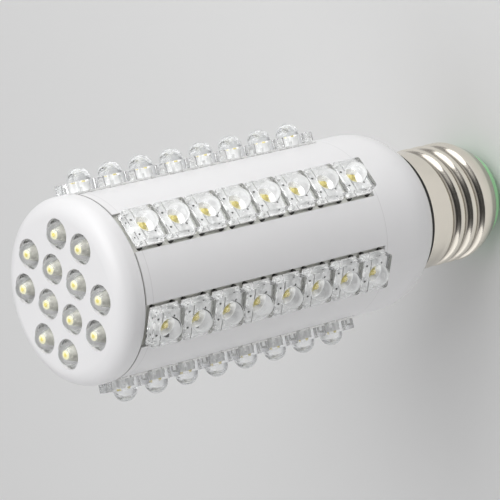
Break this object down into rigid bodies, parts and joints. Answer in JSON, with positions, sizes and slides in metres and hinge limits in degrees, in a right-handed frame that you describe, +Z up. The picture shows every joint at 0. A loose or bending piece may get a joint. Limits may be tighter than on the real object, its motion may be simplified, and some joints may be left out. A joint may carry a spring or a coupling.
{
  "type": "corn led bulb",
  "caption": "Corn led bulb with a white housing, six strips of clear square leds, an end cap with twelve more leds and a screw base",
  "frame": {"origin": "tip of the centre contact, on the bulb's axis", "axes": "+Z up the axis to the lit end cap, +X out through the middle of the first led strip"},
  "size_m": [0.0478, 0.042, 0.117],
  "materials": {
    "white_plastic": "satin white moulding",
    "board": "olive grey laminate",
    "tinned_lead": "bright tinned sheet",
    "phosphor": "yellow phosphor",
    "clear_epoxy": "clear cast epoxy",
    "nickel": "nickel plate, polished",
    "green_insulator": "light green moulding",
    "driver_laminate": "green laminate",
    "capacitor_case": "red-brown case",
    "capacitor_sleeve": "black sleeve",
    "black_plastic": "moulded case",
    "resistor_body": "painted ceramic",
    "wire_white": "insulated wire",
    "wire_red": "insulated wire"
  },
  "bodies": {
    "root": {"body_housing": "white_plastic", "front_cap": "white_plastic", "front_board": "board", "front_led_leads": "tinned_lead", "front_led_chips": "phosphor", "front_led_lenses": "clear_epoxy", "strip_board_1": "board", "strip_led_leads_1": "tinned_lead", "strip_led_chips_1": "phosphor", "strip_led_lenses_1": "clear_epoxy", "strip_board_2": "board", "strip_led_leads_2": "tinned_lead", "strip_led_chips_2": "phosphor", "strip_led_lenses_2": "clear_epoxy", "strip_board_3": "board", "strip_led_leads_3": "tinned_lead", "strip_led_chips_3": "phosphor", "strip_led_lenses_3": "clear_epoxy", "strip_board_4": "board", "strip_led_leads_4": "tinned_lead", "strip_led_chips_4": "phosphor", "strip_led_lenses_4": "clear_epoxy", "strip_board_5": "board", "strip_led_leads_5": "tinned_lead", "strip_led_chips_5": "phosphor", "strip_led_lenses_5": "clear_epoxy", "strip_board_6": "board", "strip_led_leads_6": "tinned_lead", "strip_led_chips_6": "phosphor", "strip_led_lenses_6": "clear_epoxy", "screw_shell": "nickel", "base_insulator": "green_insulator", "centre_contact": "nickel", "driver_board": "driver_laminate", "film_capacitor": "capacitor_case", "smoothing_capacitor": "capacitor_sleeve", "bridge_rectifier": "black_plastic", "bleed_resistor": "resistor_body", "surge_resistor": "resistor_body", "contact_wire": "wire_white", "shell_wire": "wire_white", "strip_jumper_wires": "wire_white", "strip_feed_wires": "wire_red", "front_feed_wires": "wire_red"}
  },
  "joints": []
}
